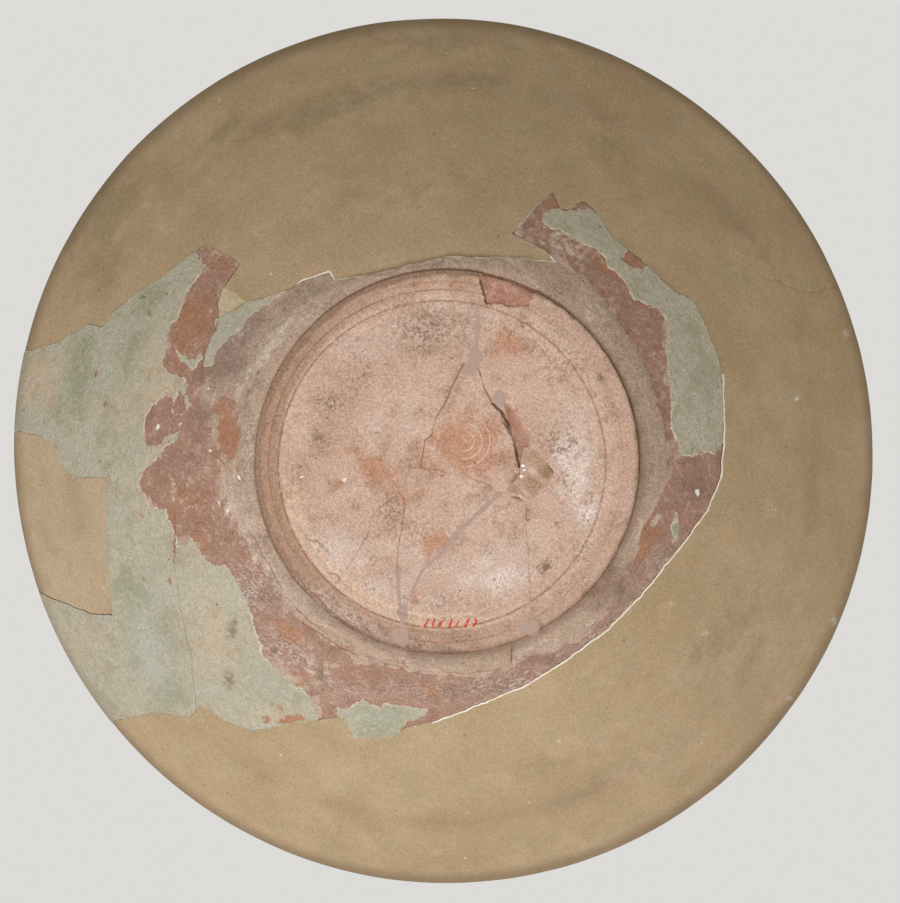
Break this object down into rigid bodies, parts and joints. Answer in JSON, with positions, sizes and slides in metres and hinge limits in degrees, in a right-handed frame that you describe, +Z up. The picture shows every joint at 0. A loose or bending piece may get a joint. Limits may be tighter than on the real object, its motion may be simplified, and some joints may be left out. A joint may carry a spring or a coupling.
{
  "type": "restored earthenware bowl",
  "caption": "Wide flaring wheel-turned earthenware bowl on a low flat foot, with a thin rounded rim; its lost wall is made up in plaster.",
  "frame": {"origin": "centre of the flat foot's underside, where the bowl stands", "axes": "+Z up through the bowl's mouth, along the axis it was turned on; the bowl stands mouth up, and the surviving stretch of rim faces between +X and -Y"},
  "size_m": [0.2606, 0.2594, 0.075],
  "materials": {
    "glazed_earthenware": "satin",
    "painted_plaster": "matte",
    "rim_patch_plaster": "matte"
  },
  "bodies": {
    "root": {"earthenware_bowl": "glazed_earthenware", "plaster_wall_fill": "painted_plaster", "plaster_rim_patch": "rim_patch_plaster"}
  },
  "joints": []
}
